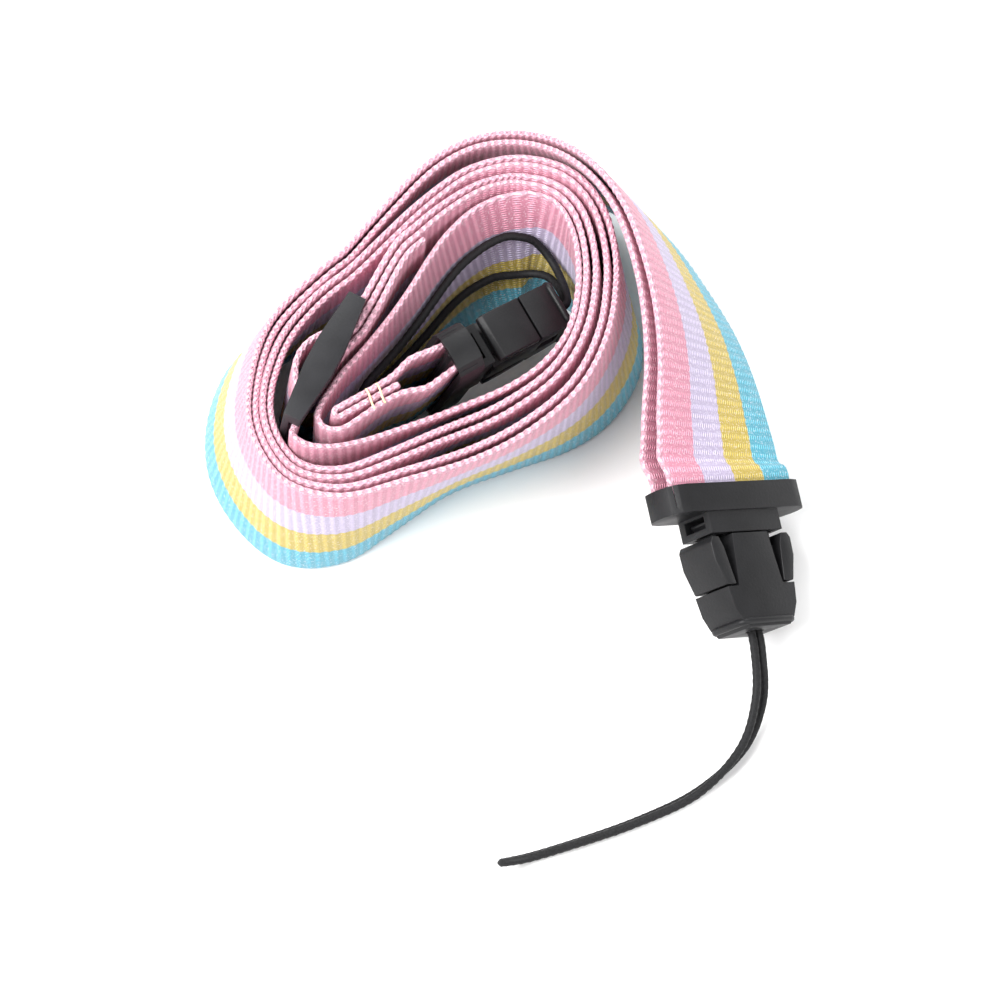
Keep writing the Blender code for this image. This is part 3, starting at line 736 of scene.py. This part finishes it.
def make_webbing():
    stations, marks = evenly(smooth(strap_route(), 0.4), RIB_PITCH / RIB_STEPS)
    middle, across, face = ribbon(stations)
    profile = web_profile()
    wave = np.cos(2 * math.pi * marks / RIB_PITCH)[:, None]
    side = profile[None, :, 1]
    thick = WEB_THICK / 2 + RIB_HEIGHT * wave * np.sign(side) * (np.abs(side) > 0.99) / 2
    edge = np.abs(profile[None, :, 0]) > 0.99
    wide = WEB_WIDTH / 2 + SCALLOP * np.cos(math.pi * marks / RIB_PITCH)[:, None] * edge / 2
    rings = middle[:, None] + across[:, None] * (wide * profile[:, 0])[..., None]
    rings = rings + face[:, None] * (thick * profile[:, 1])[..., None]
    ones = np.ones((len(marks), len(profile)))
    attributes = {
        "along": ones * marks[:, None],
        "down": ones * (1 - profile[None, :, 0]) / 2,
        "through": ones * profile[None, :, 1],
    }
    web = skin("striped_webbing", rings, attributes)
    web.data.materials.append(webbing_material())
    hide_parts("webbing")
    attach(web, "root")
    return web, marks[-1]


def carried(points):
    """Two directions across a line at each point, carried along it without a twist."""
    along = directions(points)
    side = np.cross(along[0], (0.0, 0.0, 1.0))
    sides = []
    for direction in along:
        side = side - direction * np.dot(side, direction)
        side = side / np.linalg.norm(side)
        sides.append(side)
    sides = np.array(sides)
    return sides, np.cross(along, sides)


def cord_points(frame_of, loop):
    """The cord's middle line from its knot in the plug, around the loop and back to the knot."""
    side = CORD_SPACING / 2
    ends = (CORD_FROM, PLUG_END, PLUG_END + CORD_EXIT)
    out, back = [[tuple(frame_of @ Vector((x, y, 0))) for y in ends] for x in (side, -side)]
    return smooth(out + list(loop) + back[::-1], CORD_STEP)


def make_cord(side, frame_of, loop, body, look):
    points, marks = evenly(smooth(cord_points(frame_of, loop), 0.4), CORD_FINE_STEP)
    one, two = carried(points)
    angle = np.linspace(0, 2 * math.pi, CORD_SIDES, endpoint=False)[None, :]
    turn = 2 * math.pi * marks[:, None] / BRAID_PITCH
    braid = np.abs(np.cos(2 * angle + turn)) + np.abs(np.cos(2 * angle - turn))
    radius = CORD / 2 * (1 - BRAID_DEPTH + BRAID_DEPTH * braid)
    rings = points[:, None] + one[:, None] * (radius * np.cos(angle))[..., None]
    rings = rings + two[:, None] * (radius * np.sin(angle))[..., None]
    cord = skin(f"cord_loop_{side}", rings)
    cord.data.materials.append(look)
    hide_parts(f"cord_{side}")
    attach(cord, body)
    knot = frame["nodes"][f"cord_knot_{side}"]
    knot.data.materials.clear()
    knot.data.materials.append(look)


def moulded(node, name, body, look, edge):
    """The shape of a CAD node with its flats made whole and its edges rounded, standing for that node."""
    shape = bmesh.new()
    shape.from_mesh(frame["nodes"][node].data)
    bmesh.ops.remove_doubles(shape, verts=shape.verts, dist=0.002 * MM)
    bmesh.ops.dissolve_limit(shape, angle_limit=math.radians(3.0), verts=shape.verts, edges=shape.edges)
    sharp = [e for e in shape.edges if e.is_manifold and e.calc_face_angle() > math.radians(28.0)]
    bmesh.ops.bevel(
        shape, geom=sharp, offset=edge * MM, segments=3, profile=0.5, affect="EDGES", clamp_overlap=True,
    )
    bmesh.ops.recalc_face_normals(shape, faces=shape.faces)
    piece = link_mesh(name, shape, True)
    piece.data.set_sharp_from_angle(angle=math.radians(40.0))
    piece.data.materials.clear()
    piece.data.materials.append(look)
    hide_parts(node)
    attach(piece, body)
    return piece


def bead(name, corners, radius, body, look):
    """A round bead around a closed outline of points in layout millimetres."""
    curve = bpy.data.curves.new(name, "CURVE")
    curve.dimensions = "3D"
    curve.bevel_depth = radius * MM
    curve.bevel_resolution = 3
    spline = curve.splines.new("POLY")
    spline.points.add(len(corners) - 1)
    for point, at in zip(spline.points, corners):
        point.co = (*((Vector(at) + ORIGIN) * MM), 1.0)
    spline.use_cyclic_u = True
    obj = bpy.data.objects.new(name, curve)
    bpy.context.scene.collection.objects.link(obj)
    curve.materials.append(look)
    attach(obj, body)
    return obj


def rounded(width, height, radius, steps=4):
    points = []
    for quarter, (sx, sy) in enumerate(((1, 1), (-1, 1), (-1, -1), (1, -1))):
        centre = (sx * (width / 2 - radius), sy * (height / 2 - radius))
        points += arc(centre, radius, 90 * quarter, 90 * quarter + 90, steps)
    return points


def make_buckle(side, frame_of, look):
    plug, left, right = BODIES[side]
    moulded(f"strap_end_{side}", f"buckle_socket_{side}", "root", look, BUCKLE_EDGE)
    moulded(f"plug_{side}", f"buckle_plug_{side}", plug, look, BUCKLE_EDGE)
    moulded(f"arm_left_{side}", f"latch_left_{side}", left, look, ARM_EDGE)
    moulded(f"arm_right_{side}", f"latch_right_{side}", right, look, ARM_EDGE)
    y = PLUG_END - END_BEAD_INSET
    outline = rounded(PLUG_END_WIDTH - END_BEAD_SINK, PLUG_THICK - END_BEAD_SINK, END_BEAD_CORNER)
    corners = [tuple(frame_of @ Vector((x, y, z))) for x, z in outline]
    bead(f"plug_bead_{side}", corners, END_BEAD, plug, look)


def make_stitches():
    """Short bars of thread over the upper selvedge, where the folded ends are sewn down."""
    look = thread_material()
    stitches = []
    for i, along in enumerate(STITCH_AT):
        points = []
        for a in np.linspace(-STITCH_SWEEP, STITCH_SWEEP, 9):
            x = WEB_WIDTH / 2 + STITCH_CROWN * math.cos(a)
            y = along + STITCH_SWAY * math.sin(a * 2)
            points.append(tuple(FRAME_B @ Vector((x, y, STITCH_REACH * math.sin(a)))))
        path = evenly(smooth(points, 0.3), 0.15)[0]
        one, two = carried(path)
        angle = np.linspace(0, 2 * math.pi, STITCH_SIDES, endpoint=False)[None, :]
        rings = path[:, None] + one[:, None] * (STITCH_RADIUS * np.cos(angle))[..., None]
        rings = rings + two[:, None] * (STITCH_RADIUS * np.sin(angle))[..., None]
        stitch = skin(f"stitch_{i}", rings)
        stitch.data.materials.append(look)
        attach(stitch, "root")
        stitches.append(stitch)
    return stitches


def main():
    make_camera()
    braid = cord_material()
    make_cord("a", FRAME_A, LOOP_A, "plug_a", braid)
    make_cord("b", FRAME_B, LOOP_B, "root", braid)
    web, web_length = make_webbing()
    stitches = make_stitches()
    plastic = plastic_material("buckle_plastic", (0.007, 0.007, 0.008))
    make_buckle("a", FRAME_A, plastic)
    make_buckle("b", FRAME_B, plastic)
    slider_look = plastic_material("slider_plastic", (0.014, 0.014, 0.016))
    moulded("slider", "three_bar_slider", "root", slider_look, BUCKLE_EDGE)
    make_studio()


main()
